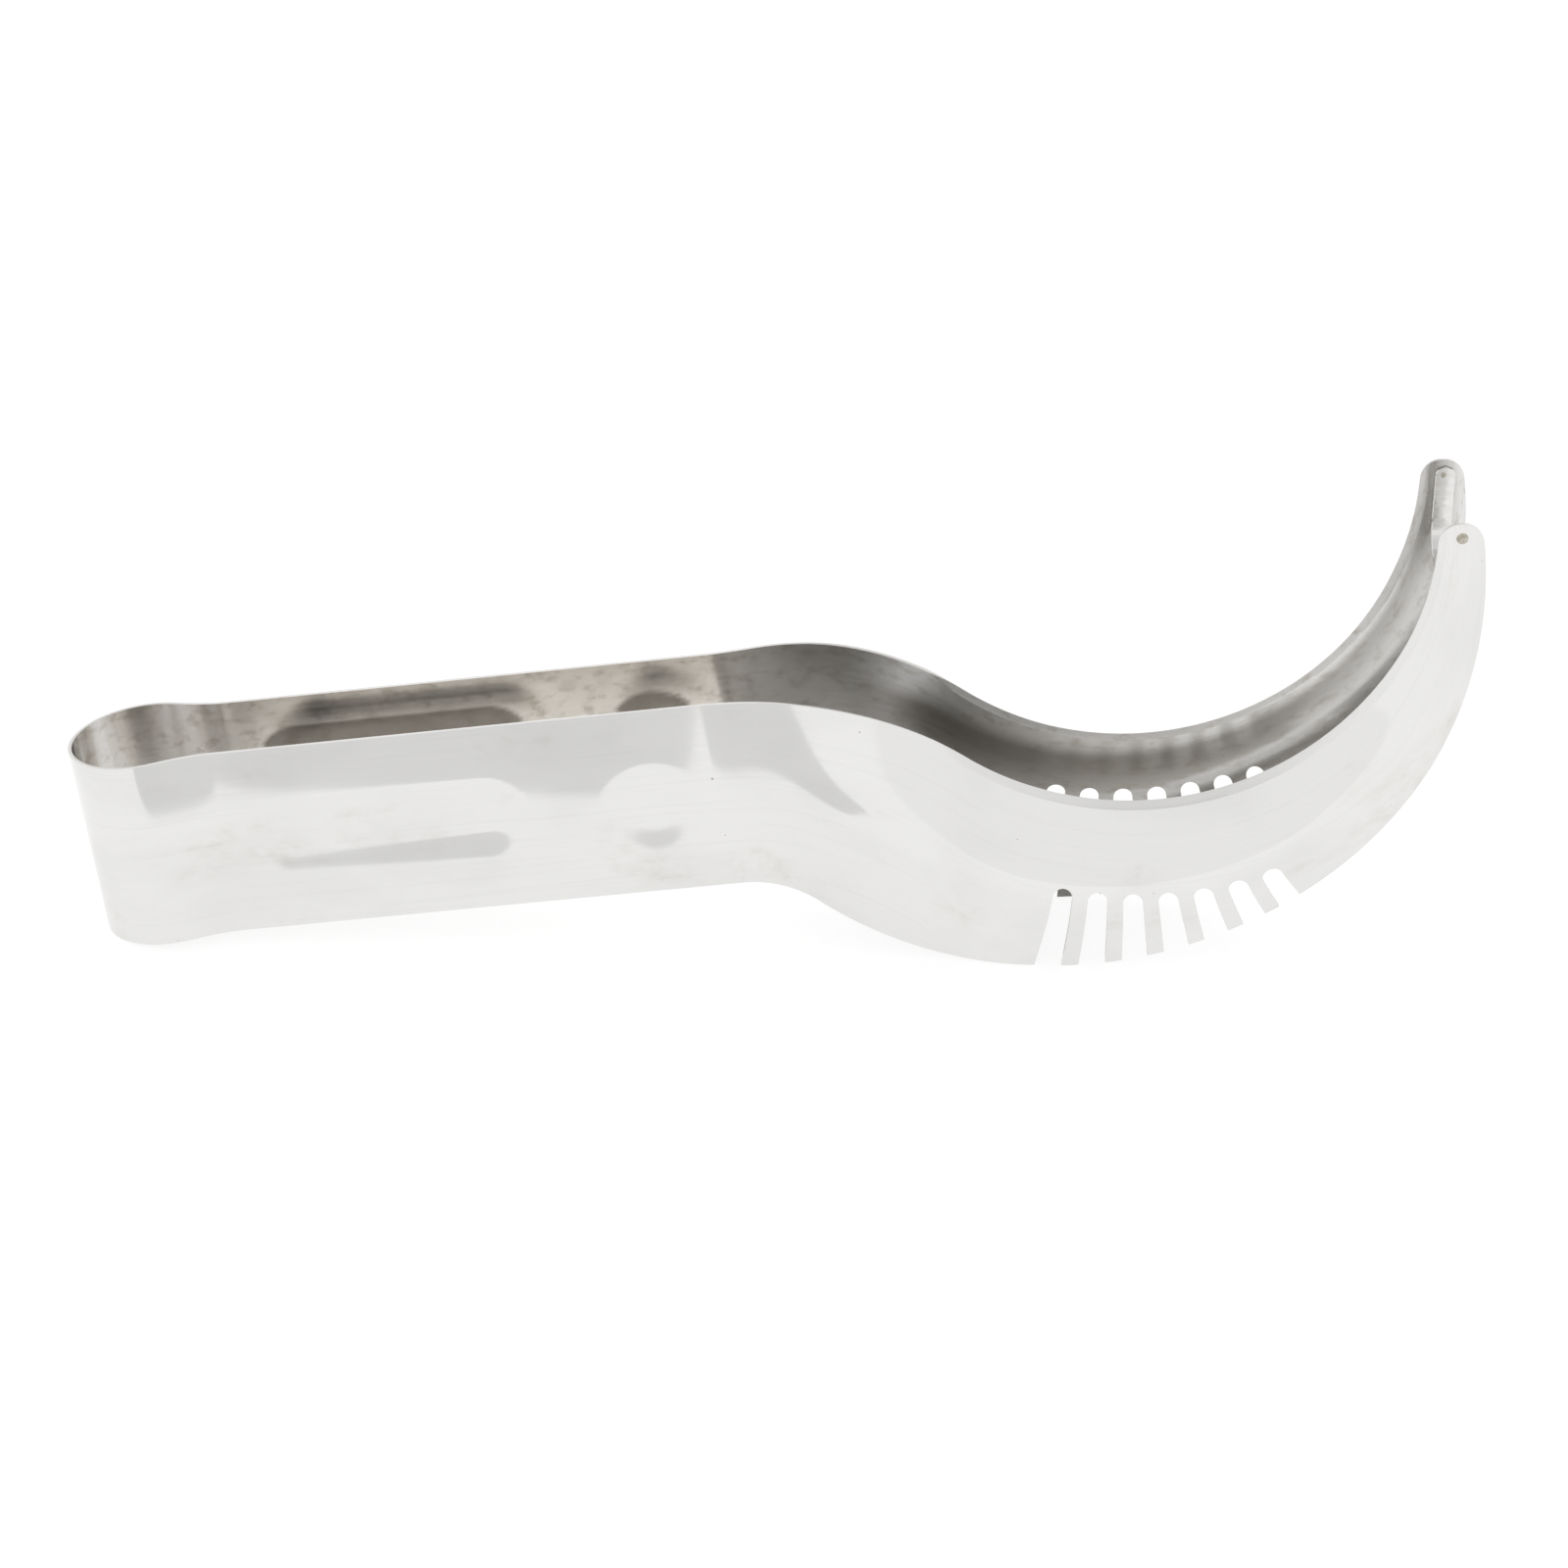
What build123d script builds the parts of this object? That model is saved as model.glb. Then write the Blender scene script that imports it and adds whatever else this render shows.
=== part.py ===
from build123d import *
import math
import os

# Melon slicer and server: one strip of thin stainless sheet bent into a U, so that the bend is a
# spring and the two ends are curved blades with a comb of teeth, plus a narrow cross blade spot
# welded between the tips. Millimetres. +X runs from the bend towards the blade tips, +Z is up,
# Y = 0 is the plane of symmetry, and Z = 0 is the table the slicer stands on. Dimensions below
# take x from the back of the bend; the finished pieces are moved so that x = 0 is half way along.
# The one strip is divided where it flexes: at both ends of the bend, and where each flat handle
# meets its neck.

os.makedirs("parts", exist_ok=True)

# Sheet and handle
SHEET = 0.6                 # sheet thickness
STRIP_WIDTH = 31.0          # height of the strip across the handle
HANDLE_TILT = 7.2           # degrees the handle rises towards the blades when it stands
HANDLE_HALF_GAP = 8.9       # plane of symmetry to the middle of the handle sheet
HANDLE_START = 24.0         # along the handle, where the spring bend ends
HANDLE_END = 100.0          # along the handle, where the neck starts

# Spring bend, seen along its own bend axis
BOW_RADIUS = 11.1           # to the middle of the sheet
BOW_WRAP = 106.0            # degrees the bend covers on each side of its rearmost point
BOW_EASE = 3.5              # how softly the bend runs out into the handle

# Outline of the neck and blade, seen from the side
CONCAVE_CENTRE = (163.4, 73.6)
CONCAVE_RADIUS = 44.3
CONVEX_RADIUS = 63.3
CONVEX_CENTRE = (151.9, CONVEX_RADIUS)
SHOULDER_RADIUS = 50.0      # top of the neck
ARMPIT_RADIUS = 18.0        # underside of the neck
TIP_HEIGHT = 76.2
TIP_CORNER = 3.2            # rounding of the blade tip

# Comb
SLOT_COUNT = 7
SLOT_WIDTH = 3.0
SLOT_FIRST_ANGLE = -8.8     # degrees from straight down, about the concave edge's centre
SLOT_PITCH = 5.27           # degrees
SLOT_TOP_RADIUS = 57.1      # crown of the rounded slot ends, from the same centre
SLOT_LEAN = 3.0             # degrees each slot leans towards the tips from the radial direction
SLOT_FLARE = 2.2            # degrees each side of a slot opens towards its mouth
SLOT_LENGTH = 40.0          # long enough to run out through the convex edge

# Form of the sheet across its width. Each neck station is a line down the side outline: top edge
# x, degrees from straight down, half gap at the top edge, half gap at the lower edge, and share
# of the full fold.
NECK_STATIONS = (
    (107.0, 3.0, 9.8, 9.0, 0.05),
    (114.0, -1.0, 10.9, 9.3, 0.2),
    (121.0, -5.0, 11.5, 9.7, 0.42),
    (129.0, -8.0, 11.6, 10.1, 0.65),
    (137.0, -10.0, 11.5, 10.4, 0.83),
    (145.0, -11.0, 11.4, 10.6, 0.95),
    (151.0, -10.5, 11.3, 10.7, 1.0),
)
# Each blade station is a radial line: degrees about the concave edge's centre, then the same.
BLADE_STATIONS = (
    (-8.4, 11.3, 10.7, 1.0),
    (0.0, 11.3, 10.7, 1.0),
    (8.0, 11.3, 10.7, 1.0),
    (16.0, 11.3, 10.7, 1.0),
    (24.0, 11.3, 10.9, 0.93),
    (33.0, 11.3, 11.4, 0.72),
    (43.0, 11.3, 12.0, 0.48),
    (53.0, 11.4, 12.5, 0.27),
    (63.0, 11.7, 12.5, 0.12),
    (72.0, 12.1, 12.3, 0.03),
    (79.0, 12.2, 12.2, 0.0),
    (85.0, 12.2, 12.2, 0.0),
    (91.0, 12.2, 12.2, 0.0),
    (98.0, 12.2, 12.2, 0.0),
)
FOLD_HEIGHT = 9.6           # full outward fold of the sheet along the middle of its width
FOLD_SOFTNESS = 0.4         # rounding of the fold's ridge, as a share of half the width
FORM_STEPS = 16             # points across the width of each station
FORM_MARGIN = 0.05          # how far each station runs past both edges, as a share of its length
OVERLAP = 2.0               # flat lead-in of the formed sheet before the neck
FLAT_LIMIT = 119.0          # neck stations before this x end on the handle's lower edge

# Pressed features of the handle: centre along the handle and up its width
OVAL_DEPTH = 0.6            # how far the sheet is pressed inwards
DIMPLE_DEPTH = 0.45
PRESS_SLOPE = 6.5           # width of the sloping border round a pressed feature
OVAL_CENTRE = (48.8, 14.8)
OVAL_LENGTH = 46.5
OVAL_HEIGHT = 16.0
DIMPLE_CENTRE = (90.2, 13.8)
DIMPLE_RADIUS = 9.0

# Cross blade and its two spot welds
TIP_HALF_GAP = 12.2         # plane of symmetry to the middle of the sheet at the tips
CROSS_SHEET = 0.5
CROSS_X = (209.9, 212.9)    # front and back edges of the cross blade
CROSS_TOP = 75.2
CROSS_BOTTOM = 62.0         # middle of the sheet where it crosses
CROSS_BEND_RADIUS = 5.0
CROSS_SEAT = 0.05           # clearance between the cross blade and the blade's inner face
WELD_AT = (211.1, 74.0)
WELD_RADIUS = 0.8
WELD_DISH = 0.15            # how far a weld lies below the blade's outer face

TILT = math.radians(HANDLE_TILT)
ALONG = Vector(math.cos(TILT), 0, math.sin(TILT))
UP = Vector(-math.sin(TILT), 0, math.cos(TILT))
HANDLE_ORIGIN = Vector(STRIP_WIDTH * math.sin(TILT), 0, 0)
REACH = 60.0                # depth of the cutting prisms, more than the slicer's half width


def handle_point(along, across, up):
    """A point given along the handle, across it and up its width."""
    return HANDLE_ORIGIN + ALONG * along + Vector(0, across, 0) + UP * up


def neck_arc(line_height, radius, centre, circle_radius):
    """Arc from a long edge of the handle to a blade edge: its centre and both tangent points."""
    edge_up = HANDLE_ORIGIN.X * UP.X + line_height
    centre_along = centre[0] * ALONG.X + centre[1] * ALONG.Z
    centre_up = centre[0] * UP.X + centre[1] * UP.Z
    arc_up = edge_up - radius
    reach = radius + circle_radius
    arc_along = centre_along - math.sqrt(reach**2 - (arc_up - centre_up) ** 2)
    arc_centre = (
        arc_along * ALONG.X + arc_up * UP.X,
        arc_along * ALONG.Z + arc_up * UP.Z,
    )
    on_line = (arc_centre[0] + radius * UP.X, arc_centre[1] + radius * UP.Z)
    share = radius / reach
    on_circle = (
        arc_centre[0] + share * (centre[0] - arc_centre[0]),
        arc_centre[1] + share * (centre[1] - arc_centre[1]),
    )
    return arc_centre, on_line, on_circle


def circle_height(centre, radius, x, side):
    """Height of a circle at x, on its upper (1) or lower (-1) side."""
    return centre[1] + side * math.sqrt(radius**2 - (x - centre[0]) ** 2)


def circle_reach(centre, radius, z):
    """The x at which a circle's blade-tip side has height z."""
    return centre[0] + math.sqrt(radius**2 - (z - centre[1]) ** 2)


def arc_about(start, end, centre, radius):
    """The shorter arc from start to end about a centre."""
    mid = ((start[0] + end[0]) / 2 - centre[0], (start[1] + end[1]) / 2 - centre[1])
    size = math.hypot(*mid)
    between = (centre[0] + mid[0] / size * radius, centre[1] + mid[1] / size * radius)
    return ThreePointArc(start, between, end)


def side_outline():
    """Outline of the neck and blade seen from the side, drawn with z as the face's own Y."""
    top_arc, top_line, top_circle = neck_arc(
        STRIP_WIDTH, SHOULDER_RADIUS, CONCAVE_CENTRE, CONCAVE_RADIUS
    )
    low_arc, low_line, low_circle = neck_arc(0, ARMPIT_RADIUS, CONVEX_CENTRE, CONVEX_RADIUS)
    handle_top = handle_point(HANDLE_END, 0, STRIP_WIDTH)
    handle_low = handle_point(HANDLE_END, 0, 0)
    start_top = (handle_top.X, handle_top.Z)
    start_low = (handle_low.X, handle_low.Z)
    tip_in = (circle_reach(CONCAVE_CENTRE, CONCAVE_RADIUS, TIP_HEIGHT), TIP_HEIGHT)
    tip_out = (circle_reach(CONVEX_CENTRE, CONVEX_RADIUS, TIP_HEIGHT), TIP_HEIGHT)
    concave_low = (CONCAVE_CENTRE[0], CONCAVE_CENTRE[1] - CONCAVE_RADIUS)
    convex_low = (CONVEX_CENTRE[0], 0)
    edges = [
        Line(start_top, top_line),
        arc_about(top_line, top_circle, top_arc, SHOULDER_RADIUS),
        arc_about(top_circle, concave_low, CONCAVE_CENTRE, CONCAVE_RADIUS),
        arc_about(concave_low, tip_in, CONCAVE_CENTRE, CONCAVE_RADIUS),
        Line(tip_in, tip_out),
        arc_about(tip_out, convex_low, CONVEX_CENTRE, CONVEX_RADIUS),
        arc_about(convex_low, low_circle, CONVEX_CENTRE, CONVEX_RADIUS),
        arc_about(low_circle, low_line, low_arc, ARMPIT_RADIUS),
        Line(low_line, start_low),
        Line(start_low, start_top),
    ]
    flat = make_face(edges)
    corners = [v for v in flat.vertices() if abs(v.Y - TIP_HEIGHT) < 0.01]
    return fillet(corners, TIP_CORNER)


def side_prism(flat):
    """A flat side view shape, cut through the whole width of the slicer."""
    upright = Plane((0, 0, 0), x_dir=(1, 0, 0), z_dir=(0, -1, 0)) * flat
    return extrude(upright, amount=REACH, both=True)


def slot_shape(index):
    """One comb slot seen from the side: round at the crown, open at the convex edge."""
    swing = math.radians(SLOT_FIRST_ANGLE + index * SLOT_PITCH)
    crown = SLOT_TOP_RADIUS + SLOT_WIDTH / 2
    centre = (
        CONCAVE_CENTRE[0] + crown * math.sin(swing),
        CONCAVE_CENTRE[1] - crown * math.cos(swing),
    )
    half = SLOT_WIDTH / 2
    mouth = half + SLOT_LENGTH * math.tan(math.radians(SLOT_FLARE))
    edges = [
        Line((0, half), (SLOT_LENGTH, mouth)),
        Line((SLOT_LENGTH, mouth), (SLOT_LENGTH, -mouth)),
        Line((SLOT_LENGTH, -mouth), (0, -half)),
        ThreePointArc((0, -half), (-half, 0), (0, half)),
    ]
    turn = math.degrees(swing) + SLOT_LEAN - 90
    return Pos(*centre) * Rot(0, 0, turn) * make_face(edges)


def top_edge(x):
    """Height of the outline's top edge at x, between the handle and the bottom of the blade."""
    arc, on_line, on_circle = neck_arc(
        STRIP_WIDTH, SHOULDER_RADIUS, CONCAVE_CENTRE, CONCAVE_RADIUS
    )
    if x < on_line[0]:
        return on_line[1] - (on_line[0] - x) * math.tan(TILT)
    if x < on_circle[0]:
        return circle_height(arc, SHOULDER_RADIUS, x, 1)
    return circle_height(CONCAVE_CENTRE, CONCAVE_RADIUS, x, -1)


def station_length(top, angle):
    """Length of a station's line from its top edge point to the lower edge of the outline."""
    if top[0] < FLAT_LIMIT:
        return STRIP_WIDTH
    step = (math.sin(math.radians(angle)), -math.cos(math.radians(angle)))
    off = (top[0] - CONVEX_CENTRE[0], top[1] - CONVEX_CENTRE[1])
    half = off[0] * step[0] + off[1] * step[1]
    return -half + math.sqrt(half**2 + CONVEX_RADIUS**2 - off[0] ** 2 - off[1] ** 2)


def form_section(top, angle, top_gap, low_gap, fold):
    """Closed thin section of the sheet at one station, running a little past both edges."""
    length = station_length(top, angle)
    step = Vector(math.sin(math.radians(angle)), 0, -math.cos(math.radians(angle)))
    outer = []
    inner = []
    for i in range(FORM_STEPS + 1):
        t = -FORM_MARGIN + (1 + 2 * FORM_MARGIN) * i / FORM_STEPS
        off_ridge = 2 * t - 1
        rounded = math.hypot(off_ridge, FOLD_SOFTNESS)
        bulge = fold * FOLD_HEIGHT * (math.hypot(1, FOLD_SOFTNESS) - rounded)
        across = top_gap + (low_gap - top_gap) * t + bulge
        lean = -2 * fold * FOLD_HEIGHT * off_ridge / rounded
        slope = (low_gap - top_gap + lean) / length
        middle = Vector(top[0], across, top[1]) + step * (t * length)
        normal = (Vector(0, 1, 0) - step * slope).normalized()
        outer.append(middle + normal * (SHEET / 2))
        inner.append(middle - normal * (SHEET / 2))
    sides = [
        Spline(outer),
        Line(outer[-1], inner[-1]),
        Spline(inner[::-1]),
        Line(inner[0], outer[0]),
    ]
    return Wire(sides)


def formed_sheet():
    """The folded sheet of one neck and blade, before its outline is cut."""
    flat = (HANDLE_HALF_GAP, HANDLE_HALF_GAP, 0)
    sections = []
    for along in (HANDLE_END - 2 * OVERLAP, HANDLE_END - OVERLAP, HANDLE_END):
        top = handle_point(along, 0, STRIP_WIDTH)
        sections.append(form_section((top.X, top.Z), HANDLE_TILT, *flat))
    for x, angle, *form in NECK_STATIONS:
        sections.append(form_section((x, top_edge(x)), angle, *form))
    for angle, *form in BLADE_STATIONS:
        swing = math.radians(angle)
        top = (
            CONCAVE_CENTRE[0] + CONCAVE_RADIUS * math.sin(swing),
            CONCAVE_CENTRE[1] - CONCAVE_RADIUS * math.cos(swing),
        )
        sections.append(form_section(top, angle, *form))
    return Solid.make_loft(sections)


def pressed(panel, shape, centre, depth):
    """The handle panel with one shape pressed inwards, its border sloping."""
    taper = math.degrees(math.atan2(PRESS_SLOPE, depth))
    outer_at = handle_point(centre[0], HANDLE_HALF_GAP + SHEET / 2, centre[1])
    inner_at = handle_point(centre[0], HANDLE_HALF_GAP - SHEET / 2, centre[1])
    inwards = (0, -1, 0)
    raised = Plane(inner_at, x_dir=ALONG, z_dir=inwards) * shape
    sunk = Plane(outer_at, x_dir=ALONG, z_dir=inwards) * shape
    return panel + extrude(raised, depth, taper=taper) - extrude(sunk, depth, taper=taper)


def handle_panel():
    """The flat handle of the +Y arm with its pressed oval and round dimple."""
    middle = handle_point((HANDLE_START + HANDLE_END) / 2, HANDLE_HALF_GAP, STRIP_WIDTH / 2)
    place = Plane(middle, x_dir=ALONG, z_dir=UP)
    panel = place * Box(HANDLE_END - HANDLE_START, SHEET, STRIP_WIDTH)
    panel = pressed(panel, SlotOverall(OVAL_LENGTH, OVAL_HEIGHT), OVAL_CENTRE, OVAL_DEPTH)
    return pressed(panel, Circle(DIMPLE_RADIUS), DIMPLE_CENTRE, DIMPLE_DEPTH)


def weld_pin(low, high, side):
    """A short round pin along Y at a tip, from half gap low to half gap high."""
    start = Plane((WELD_AT[0], side * low, WELD_AT[1]), z_dir=(0, side, 0))
    return extrude(start * Circle(WELD_RADIUS), high - low)


def toothed_blade():
    """The neck and blade of the +Y arm, with the comb and the weld hole."""
    blade = formed_sheet() & side_prism(side_outline())
    for index in range(SLOT_COUNT):
        blade = blade - side_prism(slot_shape(index))
    return blade - weld_pin(TIP_HALF_GAP - 2 * SHEET, TIP_HALF_GAP + 2 * SHEET, 1)


def bow_curve(offset):
    """One face of the spring bend from the -Y arm round to the +Y arm, seen down its axis."""
    centre = SHEET / 2 + BOW_RADIUS
    radius = BOW_RADIUS + offset
    wrap = math.radians(BOW_WRAP)
    end = (centre - radius * math.cos(wrap), radius * math.sin(wrap))
    gap = HANDLE_HALF_GAP + offset
    ease = (end[0] + BOW_EASE * math.sin(wrap), end[1] + BOW_EASE * math.cos(wrap))
    lead = (HANDLE_START - BOW_EASE, gap)
    foot = (HANDLE_START, gap)
    left = [Bezier(foot, lead, ease, end)]
    arc = [ThreePointArc(end, (centre - radius, 0), (end[0], -end[1]))]
    right = [Bezier(*[(p[0], -p[1]) for p in (end, ease, lead, foot)])]
    return left + arc + right, foot


def rear_bow():
    """The spring bend that joins the two arms."""
    outer, outer_foot = bow_curve(SHEET / 2)
    inner, inner_foot = bow_curve(-SHEET / 2)
    ends = [
        Line(outer_foot, inner_foot),
        Line((outer_foot[0], -outer_foot[1]), (inner_foot[0], -inner_foot[1])),
    ]
    flat = make_face(outer + inner + ends)
    place = Plane(HANDLE_ORIGIN, x_dir=ALONG, z_dir=UP)
    return extrude(place * flat, STRIP_WIDTH)


def cross_curve(offset):
    """One face of the cross blade in the Y-Z plane, from the -Y tip down and up to the +Y tip."""
    gap = TIP_HALF_GAP - SHEET / 2 - CROSS_SEAT - CROSS_SHEET / 2 + offset
    low = CROSS_BOTTOM - offset
    radius = CROSS_BEND_RADIUS + offset
    turn = low + radius
    corner = radius * math.sqrt(0.5)
    return [
        Line((-gap, CROSS_TOP), (-gap, turn)),
        ThreePointArc(
            (-gap, turn), (-gap + radius - corner, turn - corner), (-gap + radius, low)
        ),
        Line((-gap + radius, low), (gap - radius, low)),
        ThreePointArc((gap - radius, low), (gap - radius + corner, turn - corner), (gap, turn)),
        Line((gap, turn), (gap, CROSS_TOP)),
    ], gap


def cross_blade():
    """The narrow U-shaped strip between the blade tips."""
    outer, outer_gap = cross_curve(CROSS_SHEET / 2)
    inner, inner_gap = cross_curve(-CROSS_SHEET / 2)
    ends = [
        Line((side * outer_gap, CROSS_TOP), (side * inner_gap, CROSS_TOP)) for side in (-1, 1)
    ]
    flat = make_face(outer + inner + ends)
    place = Plane((CROSS_X[0], 0, 0), x_dir=(0, 1, 0), z_dir=(1, 0, 0))
    strip = extrude(place * flat, CROSS_X[1] - CROSS_X[0])
    for side in (-1, 1):
        strip = strip - weld_pin(inner_gap - SHEET, TIP_HALF_GAP, side)
    return strip


def spot_weld(side):
    """The weld that runs through a blade tip into the end of the cross blade."""
    inner_face = TIP_HALF_GAP - SHEET / 2 - CROSS_SEAT - CROSS_SHEET
    return weld_pin(inner_face, TIP_HALF_GAP + SHEET / 2 - WELD_DISH, side)


def save(piece, node):
    """Writes one piece, moved so that the origin lies under the middle of the whole slicer."""
    half_length = (CONVEX_CENTRE[0] + CONVEX_RADIUS) / 2
    export_step(Pos(-half_length, 0, 0) * piece, f"parts/{node}.step")


handle = handle_panel()
blade = toothed_blade()
save(rear_bow(), "rear_bow")
save(handle, "left_handle")
save(mirror(handle, Plane.XZ), "right_handle")
save(blade, "left_blade")
save(mirror(blade, Plane.XZ), "right_blade")
save(cross_blade(), "cross_blade")
save(spot_weld(1), "left_spot_weld")
save(spot_weld(-1), "right_spot_weld")
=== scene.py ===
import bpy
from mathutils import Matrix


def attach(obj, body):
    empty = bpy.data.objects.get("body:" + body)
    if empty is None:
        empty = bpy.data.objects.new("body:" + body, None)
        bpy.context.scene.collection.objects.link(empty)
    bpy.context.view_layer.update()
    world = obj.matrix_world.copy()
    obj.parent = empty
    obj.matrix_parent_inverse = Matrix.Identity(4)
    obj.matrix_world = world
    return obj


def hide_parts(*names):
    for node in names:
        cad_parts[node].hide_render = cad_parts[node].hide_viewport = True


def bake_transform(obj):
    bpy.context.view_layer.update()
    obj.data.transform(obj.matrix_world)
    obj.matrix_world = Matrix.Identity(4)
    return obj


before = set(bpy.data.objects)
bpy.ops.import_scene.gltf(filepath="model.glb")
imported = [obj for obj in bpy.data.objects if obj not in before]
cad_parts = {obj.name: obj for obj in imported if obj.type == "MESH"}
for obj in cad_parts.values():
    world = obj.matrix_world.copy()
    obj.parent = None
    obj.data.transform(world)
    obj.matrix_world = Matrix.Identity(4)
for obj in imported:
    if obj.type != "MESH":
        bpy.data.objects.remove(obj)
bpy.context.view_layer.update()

import math

import bpy
import numpy as np
from mathutils import Vector
from mathutils.geometry import delaunay_2d_cdt

# Lengths are in millimetres until a mesh is made, and match the CAD part's own dimensions.
MM = 0.001
HALF_LENGTH = 107.6         # the CAD part's origin lies this far in front of the bend's back

# Sheet, handle and spring bend
SHEET = 0.6
STRIP_WIDTH = 31.0
TILT = math.radians(7.2)
HANDLE_HALF_GAP = 8.9
HANDLE_START = 24.0
HANDLE_END = 100.0
BOW_RADIUS = 11.1
BOW_WRAP = math.radians(106.0)
BOW_EASE = 3.5

# Side outline of the neck and blade
CONCAVE_CENTRE = np.array((163.4, 73.6))
CONCAVE_RADIUS = 44.3
CONVEX_RADIUS = 63.3
CONVEX_CENTRE = np.array((151.9, CONVEX_RADIUS))
SHOULDER_RADIUS = 50.0
ARMPIT_RADIUS = 18.0
TIP_HEIGHT = 76.2
TIP_CORNER = 3.2
LAST_ANGLE = math.radians(97.0)         # where the concave and convex edges stop, past the tip
LOW_LAST_ANGLE = math.radians(110.0)

# Comb
SLOT_COUNT = 7
SLOT_WIDTH = 3.0
SLOT_FIRST = math.radians(-8.8)
SLOT_PITCH = math.radians(5.27)
SLOT_TOP_RADIUS = 57.1
SLOT_LEAN = math.radians(3.0)
SLOT_FLARE = math.tan(math.radians(2.2))
SLOT_REACH = 15.5           # from the crown's centre to past the convex edge

# Form of the sheet: place along the top edge, direction of the width in degrees from straight
# down, half gaps at the top and lower edge, and share of the full fold. Neck places are an x,
# blade places an angle about the concave edge's centre.
NECK_STATIONS = (
    (107.0, 3.0, 9.8, 9.0, 0.05),
    (114.0, -1.0, 10.9, 9.3, 0.2),
    (121.0, -5.0, 11.5, 9.7, 0.42),
    (129.0, -8.0, 11.6, 10.1, 0.65),
    (137.0, -10.0, 11.5, 10.4, 0.83),
    (145.0, -11.0, 11.4, 10.6, 0.95),
    (151.0, -10.5, 11.3, 10.7, 1.0),
)
BLADE_STATIONS = (
    (-8.4, 11.3, 10.7, 1.0),
    (0.0, 11.3, 10.7, 1.0),
    (8.0, 11.3, 10.7, 1.0),
    (16.0, 11.3, 10.7, 1.0),
    (24.0, 11.3, 10.9, 0.93),
    (33.0, 11.3, 11.4, 0.72),
    (43.0, 11.3, 12.0, 0.48),
    (53.0, 11.4, 12.5, 0.27),
    (63.0, 11.7, 12.5, 0.12),
    (72.0, 12.1, 12.3, 0.03),
    (79.0, 12.2, 12.2, 0.0),
    (85.0, 12.2, 12.2, 0.0),
    (98.0, 12.2, 12.2, 0.0),
)
FOLD_HEIGHT = 9.6
FOLD_SOFTNESS = 0.4

# Pressed features of the handle
OVAL_DEPTH = 0.6
DIMPLE_DEPTH = 0.45
PRESS_SLOPE = 7.0
OVAL_CENTRE = (48.8, 14.8)
OVAL_LENGTH = 46.5
OVAL_HEIGHT = 16.0
DIMPLE_CENTRE = (90.2, 13.8)
DIMPLE_RADIUS = 9.0

# Ground edge along the concave side of the blade
BEVEL_WIDTH = 1.3
BEVEL_SLOPE = 0.2           # how fast each face falls towards the edge
BEVEL_START = 35.0          # along the top edge from the end of the handle
BEVEL_FADE = 5.0

# Painted shade on the inside of the sheet, in the handle's pressed features and between the arms
PRESSED_SHADE_RISE = 4.3          # how far the painted shade lies above the pressed features
PRESSED_SHADE_DARK = 0.8
PRESSED_SHADE_ONSET = (0.02, 0.1)           # start and length, as shares of the full pressing
INNER_SHADE_LEAST = 0.12           # share of painted shade in the palest part of the blade
INNER_SHADE_RANGE = 0.75           # and how much more there is of it in the darkest part
INNER_SHADE_LOST = 0.3             # how much of that is lost towards the tip
INNER_SHADE_NECK = 0.42            # level over the whole width of the neck
INNER_SHADE_CREST = 0.22           # darkest line of the blade, as a share of its width
INNER_SHADE_ABOVE = 0.09           # how fast it pales from there, as shares of the width
INNER_SHADE_BELOW = 0.3
BOW_SHADE = 0.35             # level of painted shade in the spring bend
BOW_SHADE_END = 28.0         # along the sheet from the back of the bend
BOW_SHADE_FADE = 12.0
# Start and length of each change along the neck and blade, from the end of the handle
INNER_SHADE_GROWS = (2, 16)
CREST_FORMS = (15, 25)
TIP_PALES = (40, 90)
LOWER_PALES = (0.75, 0.15)  # and down the blade, as shares of the width
BRUSHED_GROWS = (0, 20)
HANDLE_BRUSHED = 0.3        # the handle's share of the blade's brushed inside

# Shifts of the stain pattern, so that no two faces have the same
SIDE_SHIFT = 40
OUTER_SHIFT = 7

# Cross blade and spot welds
TIP_HALF_GAP = 12.2
CROSS_SHEET = 0.5
CROSS_X = (209.9, 212.9)
CROSS_TOP = 75.2
CROSS_BOTTOM = 62.0
CROSS_BEND_RADIUS = 5.0
CROSS_END_RADIUS = 1.1
CROSS_SEAT = 0.15           # a little more than the CAD part, for the blades to turn by
WELD_AT = np.array((211.1, 74.0))

GRID = 0.6                  # spacing of the mesh points across the flat pattern
CRISP_ANGLE = math.radians(35)          # faces that meet more sharply show an edge
ALONG = np.array((math.cos(TILT), math.sin(TILT)))
UP = np.array((-math.sin(TILT), math.cos(TILT)))
ORIGIN = np.array((STRIP_WIDTH * math.sin(TILT), 0.0))


# ---- curves ------------------------------------------------------------------------------


def smooth(x):
    """Smooth step from 0 to 1."""
    x = np.clip(x, 0, 1)
    return x * x * (3 - 2 * x)


def onset(value, start, length):
    """Smooth step from 0 at the start to 1 a length further on."""
    return smooth((value - start) / length)


def spline(knots, values, at):
    """Natural cubic spline through (knots, values), read at the places in at."""
    knots, values = np.asarray(knots, float), np.asarray(values, float)
    gap = np.diff(knots)
    count = len(knots)
    matrix = np.eye(count)
    right = np.zeros(count)
    for i in range(1, count - 1):
        matrix[i, i - 1 : i + 2] = gap[i - 1], 2 * (gap[i - 1] + gap[i]), gap[i]
        rise = np.diff(values[i - 1 : i + 2]) / gap[i - 1 : i + 1]
        right[i] = 6 * (rise[1] - rise[0])
    bend = np.linalg.solve(matrix, right)
    i = np.clip(np.searchsorted(knots, at) - 1, 0, count - 2)
    low, high = (knots[i + 1] - at) / gap[i], (at - knots[i]) / gap[i]
    curve = (low**3 - low) * bend[i] + (high**3 - high) * bend[i + 1]
    return low * values[i] + high * values[i + 1] + curve * gap[i] ** 2 / 6


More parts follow.
